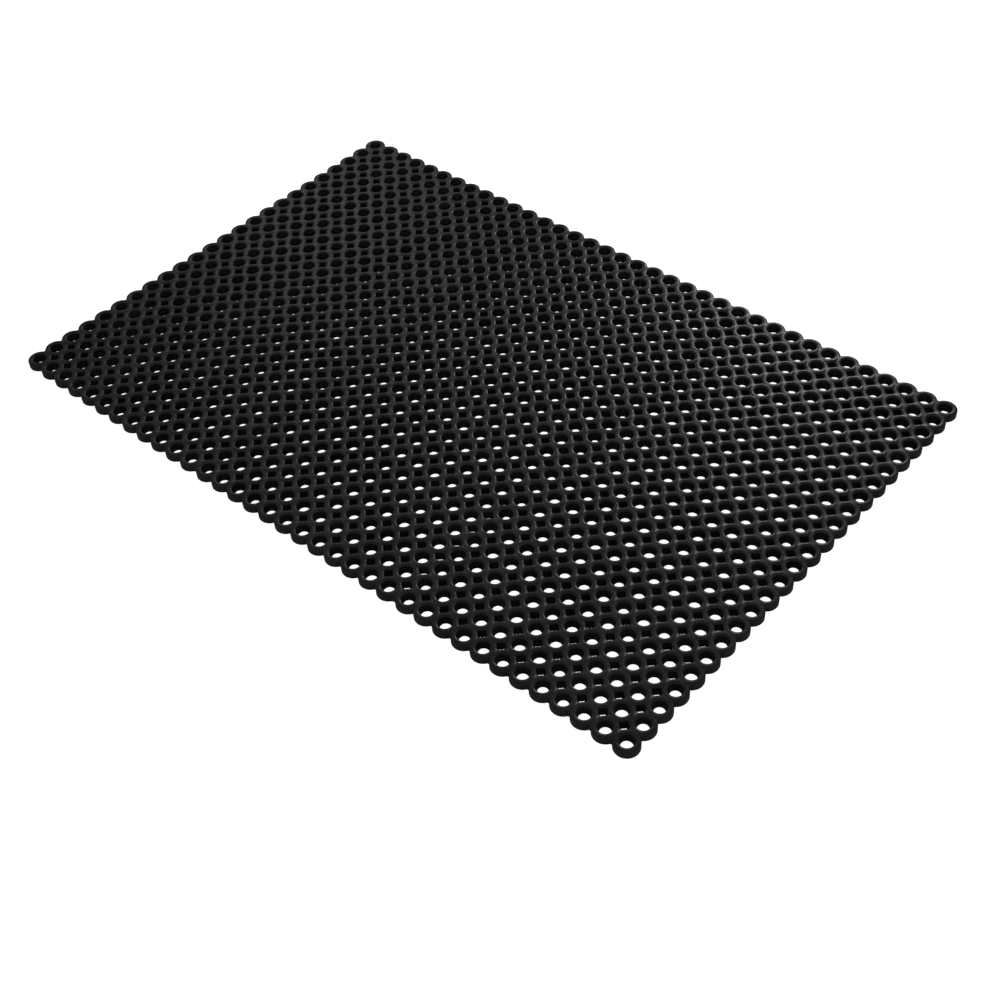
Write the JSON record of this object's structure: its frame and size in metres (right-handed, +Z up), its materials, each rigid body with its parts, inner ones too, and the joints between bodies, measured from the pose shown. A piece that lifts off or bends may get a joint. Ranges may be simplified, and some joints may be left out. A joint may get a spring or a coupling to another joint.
{
  "type": "rubber ring mat",
  "caption": "Heavy black rubber drainage door mat: a square grid of open rings joined by webs, scalloped edge, rolls up.",
  "frame": {"origin": "middle of the mat on the floor", "axes": "+X along the long edge, +Y along the short edge, +Z up"},
  "size_m": [1.5012, 0.9972, 0.016],
  "materials": {
    "rubber": "satin moulded black rubber"
  },
  "bodies": {
    "row_01": {"left_section_row_01": "rubber"},
    "row_02": {"left_section_row_02": "rubber"},
    "row_03": {"left_section_row_03": "rubber"},
    "row_04": {"left_section_row_04": "rubber"},
    "row_05": {"left_section_row_05": "rubber"},
    "row_06": {"left_section_row_06": "rubber"},
    "row_07": {"left_section_row_07": "rubber"},
    "row_08": {"left_section_row_08": "rubber"},
    "row_09": {"left_section_row_09": "rubber"},
    "row_10": {"left_section_row_10": "rubber"},
    "row_11": {"left_section_row_11": "rubber"},
    "row_12": {"left_section_row_12": "rubber"},
    "row_13": {"middle_section_row_01": "rubber"},
    "row_14": {"middle_section_row_02": "rubber"},
    "row_15": {"middle_section_row_03": "rubber"},
    "row_16": {"middle_section_row_04": "rubber"},
    "row_17": {"middle_section_row_05": "rubber"},
    "row_18": {"middle_section_row_06": "rubber"},
    "row_19": {"middle_section_row_07": "rubber"},
    "row_20": {"middle_section_row_08": "rubber"},
    "row_21": {"middle_section_row_09": "rubber"},
    "row_22": {"middle_section_row_10": "rubber"},
    "row_23": {"middle_section_row_11": "rubber"},
    "row_24": {"middle_section_row_12": "rubber"},
    "row_25": {"right_section_row_01": "rubber"},
    "row_26": {"right_section_row_02": "rubber"},
    "row_27": {"right_section_row_03": "rubber"},
    "row_28": {"right_section_row_04": "rubber"},
    "row_29": {"right_section_row_05": "rubber"},
    "row_30": {"right_section_row_06": "rubber"},
    "row_31": {"right_section_row_07": "rubber"},
    "row_32": {"right_section_row_08": "rubber"},
    "row_33": {"right_section_row_09": "rubber"},
    "row_34": {"right_section_row_10": "rubber"},
    "row_35": {"right_section_row_11": "rubber"},
    "row_36": {"right_section_row_12": "rubber"}
  },
  "joints": [
    {"name": "bend_01", "type": "hinge", "parent": "row_01", "child": "row_02", "pos_m": [-0.7074, 0, 0.016], "axis": [0, -1, 0], "range_deg": [0, 19.2], "stiffness_Nm_per_rad": 12},
    {"name": "bend_02", "type": "hinge", "parent": "row_02", "child": "row_03", "pos_m": [-0.666, 0, 0.016], "axis": [0, -1, 0], "range_deg": [0, 19.39], "stiffness_Nm_per_rad": 12},
    {"name": "bend_03", "type": "hinge", "parent": "row_03", "child": "row_04", "pos_m": [-0.6246, 0, 0.016], "axis": [0, -1, 0], "range_deg": [0, 19.56], "stiffness_Nm_per_rad": 12},
    {"name": "bend_04", "type": "hinge", "parent": "row_04", "child": "row_05", "pos_m": [-0.5832, 0, 0.016], "axis": [0, -1, 0], "range_deg": [0, 19.74], "stiffness_Nm_per_rad": 12},
    {"name": "bend_05", "type": "hinge", "parent": "row_05", "child": "row_06", "pos_m": [-0.5418, 0, 0.016], "axis": [0, -1, 0], "range_deg": [0, 19.93], "stiffness_Nm_per_rad": 12},
    {"name": "bend_06", "type": "hinge", "parent": "row_06", "child": "row_07", "pos_m": [-0.5004, 0, 0.016], "axis": [0, -1, 0], "range_deg": [0, 20.13], "stiffness_Nm_per_rad": 12},
    {"name": "bend_07", "type": "hinge", "parent": "row_07", "child": "row_08", "pos_m": [-0.459, 0, 0.016], "axis": [0, -1, 0], "range_deg": [0, 20.32], "stiffness_Nm_per_rad": 12},
    {"name": "bend_08", "type": "hinge", "parent": "row_08", "child": "row_09", "pos_m": [-0.4176, 0, 0.016], "axis": [0, -1, 0], "range_deg": [0, 20.53], "stiffness_Nm_per_rad": 12},
    {"name": "bend_09", "type": "hinge", "parent": "row_09", "child": "row_10", "pos_m": [-0.3762, 0, 0.016], "axis": [0, -1, 0], "range_deg": [0, 20.74], "stiffness_Nm_per_rad": 12},
    {"name": "bend_10", "type": "hinge", "parent": "row_10", "child": "row_11", "pos_m": [-0.3348, 0, 0.016], "axis": [0, -1, 0], "range_deg": [0, 20.95], "stiffness_Nm_per_rad": 12},
    {"name": "bend_11", "type": "hinge", "parent": "row_11", "child": "row_12", "pos_m": [-0.2934, 0, 0.016], "axis": [0, -1, 0], "range_deg": [0, 21.18], "stiffness_Nm_per_rad": 12},
    {"name": "bend_12", "type": "hinge", "parent": "row_12", "child": "row_13", "pos_m": [-0.2502, 0, 0.016], "axis": [0, -1, 0], "range_deg": [0, 23.24], "stiffness_Nm_per_rad": 12},
    {"name": "bend_13", "type": "hinge", "parent": "row_13", "child": "row_14", "pos_m": [-0.207, 0, 0.016], "axis": [0, -1, 0], "range_deg": [0, 21.67], "stiffness_Nm_per_rad": 12},
    {"name": "bend_14", "type": "hinge", "parent": "row_14", "child": "row_15", "pos_m": [-0.1656, 0, 0.016], "axis": [0, -1, 0], "range_deg": [0, 21.91], "stiffness_Nm_per_rad": 12},
    {"name": "bend_15", "type": "hinge", "parent": "row_15", "child": "row_16", "pos_m": [-0.1242, 0, 0.016], "axis": [0, -1, 0], "range_deg": [0, 22.17], "stiffness_Nm_per_rad": 12},
    {"name": "bend_16", "type": "hinge", "parent": "row_16", "child": "row_17", "pos_m": [-0.0828, 0, 0.016], "axis": [0, -1, 0], "range_deg": [0, 22.44], "stiffness_Nm_per_rad": 12},
    {"name": "bend_17", "type": "hinge", "parent": "row_17", "child": "row_18", "pos_m": [-0.0414, 0, 0.016], "axis": [0, -1, 0], "range_deg": [0, 22.71], "stiffness_Nm_per_rad": 12},
    {"name": "bend_18", "type": "hinge", "parent": "row_18", "child": "row_19", "pos_m": [0, 0, 0.016], "axis": [0, -1, 0], "range_deg": [0, 23], "stiffness_Nm_per_rad": 12},
    {"name": "bend_19", "type": "hinge", "parent": "row_19", "child": "row_20", "pos_m": [0.0414, 0, 0.016], "axis": [0, -1, 0], "range_deg": [0, 23.29], "stiffness_Nm_per_rad": 12},
    {"name": "bend_20", "type": "hinge", "parent": "row_20", "child": "row_21", "pos_m": [0.0828, 0, 0.016], "axis": [0, -1, 0], "range_deg": [0, 23.6], "stiffness_Nm_per_rad": 12},
    {"name": "bend_21", "type": "hinge", "parent": "row_21", "child": "row_22", "pos_m": [0.1242, 0, 0.016], "axis": [0, -1, 0], "range_deg": [0, 23.92], "stiffness_Nm_per_rad": 12},
    {"name": "bend_22", "type": "hinge", "parent": "row_22", "child": "row_23", "pos_m": [0.1656, 0, 0.016], "axis": [0, -1, 0], "range_deg": [0, 24.25], "stiffness_Nm_per_rad": 12},
    {"name": "bend_23", "type": "hinge", "parent": "row_23", "child": "row_24", "pos_m": [0.207, 0, 0.016], "axis": [0, -1, 0], "range_deg": [0, 24.6], "stiffness_Nm_per_rad": 12},
    {"name": "bend_24", "type": "hinge", "parent": "row_24", "child": "row_25", "pos_m": [0.2502, 0, 0.016], "axis": [0, -1, 0], "range_deg": [0, 27.09], "stiffness_Nm_per_rad": 12},
    {"name": "bend_25", "type": "hinge", "parent": "row_25", "child": "row_26", "pos_m": [0.2934, 0, 0.016], "axis": [0, -1, 0], "range_deg": [0, 25.38], "stiffness_Nm_per_rad": 12},
    {"name": "bend_26", "type": "hinge", "parent": "row_26", "child": "row_27", "pos_m": [0.3348, 0, 0.016], "axis": [0, -1, 0], "range_deg": [0, 25.78], "stiffness_Nm_per_rad": 12},
    {"name": "bend_27", "type": "hinge", "parent": "row_27", "child": "row_28", "pos_m": [0.3762, 0, 0.016], "axis": [0, -1, 0], "range_deg": [0, 26.2], "stiffness_Nm_per_rad": 12},
    {"name": "bend_28", "type": "hinge", "parent": "row_28", "child": "row_29", "pos_m": [0.4176, 0, 0.016], "axis": [0, -1, 0], "range_deg": [0, 26.64], "stiffness_Nm_per_rad": 12},
    {"name": "bend_29", "type": "hinge", "parent": "row_29", "child": "row_30", "pos_m": [0.459, 0, 0.016], "axis": [0, -1, 0], "range_deg": [0, 27.1], "stiffness_Nm_per_rad": 12},
    {"name": "bend_30", "type": "hinge", "parent": "row_30", "child": "row_31", "pos_m": [0.5004, 0, 0.016], "axis": [0, -1, 0], "range_deg": [0, 27.59], "stiffness_Nm_per_rad": 12},
    {"name": "bend_31", "type": "hinge", "parent": "row_31", "child": "row_32", "pos_m": [0.5418, 0, 0.016], "axis": [0, -1, 0], "range_deg": [0, 28.1], "stiffness_Nm_per_rad": 12},
    {"name": "bend_32", "type": "hinge", "parent": "row_32", "child": "row_33", "pos_m": [0.5832, 0, 0.016], "axis": [0, -1, 0], "range_deg": [0, 28.65], "stiffness_Nm_per_rad": 12},
    {"name": "bend_33", "type": "hinge", "parent": "row_33", "child": "row_34", "pos_m": [0.6246, 0, 0.016], "axis": [0, -1, 0], "range_deg": [0, 29.22], "stiffness_Nm_per_rad": 12},
    {"name": "bend_34", "type": "hinge", "parent": "row_34", "child": "row_35", "pos_m": [0.666, 0, 0.016], "axis": [0, -1, 0], "range_deg": [0, 29.84], "stiffness_Nm_per_rad": 12},
    {"name": "bend_35", "type": "hinge", "parent": "row_35", "child": "row_36", "pos_m": [0.7074, 0, 0.016], "axis": [0, -1, 0], "range_deg": [0, 30.49], "stiffness_Nm_per_rad": 12}
  ],
  "couplings": [
    {"joint": "bend_02", "follows": "bend_01", "ratio": 1.009},
    {"joint": "bend_03", "follows": "bend_01", "ratio": 1.0182},
    {"joint": "bend_04", "follows": "bend_01", "ratio": 1.0276},
    {"joint": "bend_05", "follows": "bend_01", "ratio": 1.0374},
    {"joint": "bend_06", "follows": "bend_01", "ratio": 1.0474},
    {"joint": "bend_07", "follows": "bend_01", "ratio": 1.0577},
    {"joint": "bend_08", "follows": "bend_01", "ratio": 1.0683},
    {"joint": "bend_09", "follows": "bend_01", "ratio": 1.0793},
    {"joint": "bend_10", "follows": "bend_01", "ratio": 1.0906},
    {"joint": "bend_11", "follows": "bend_01", "ratio": 1.1022},
    {"joint": "bend_12", "follows": "bend_01", "ratio": 1.2097},
    {"joint": "bend_13", "follows": "bend_01", "ratio": 1.1277},
    {"joint": "bend_14", "follows": "bend_01", "ratio": 1.1406},
    {"joint": "bend_15", "follows": "bend_01", "ratio": 1.154},
    {"joint": "bend_16", "follows": "bend_01", "ratio": 1.1678},
    {"joint": "bend_17", "follows": "bend_01", "ratio": 1.1821},
    {"joint": "bend_18", "follows": "bend_01", "ratio": 1.197},
    {"joint": "bend_19", "follows": "bend_01", "ratio": 1.2124},
    {"joint": "bend_20", "follows": "bend_01", "ratio": 1.2285},
    {"joint": "bend_21", "follows": "bend_01", "ratio": 1.2451},
    {"joint": "bend_22", "follows": "bend_01", "ratio": 1.2625},
    {"joint": "bend_23", "follows": "bend_01", "ratio": 1.2807},
    {"joint": "bend_24", "follows": "bend_01", "ratio": 1.4104},
    {"joint": "bend_25", "follows": "bend_01", "ratio": 1.3211},
    {"joint": "bend_26", "follows": "bend_01", "ratio": 1.3419},
    {"joint": "bend_27", "follows": "bend_01", "ratio": 1.3637},
    {"joint": "bend_28", "follows": "bend_01", "ratio": 1.3866},
    {"joint": "bend_29", "follows": "bend_01", "ratio": 1.4107},
    {"joint": "bend_30", "follows": "bend_01", "ratio": 1.4361},
    {"joint": "bend_31", "follows": "bend_01", "ratio": 1.4629},
    {"joint": "bend_32", "follows": "bend_01", "ratio": 1.4913},
    {"joint": "bend_33", "follows": "bend_01", "ratio": 1.5213},
    {"joint": "bend_34", "follows": "bend_01", "ratio": 1.5532},
    {"joint": "bend_35", "follows": "bend_01", "ratio": 1.5872}
  ]
}
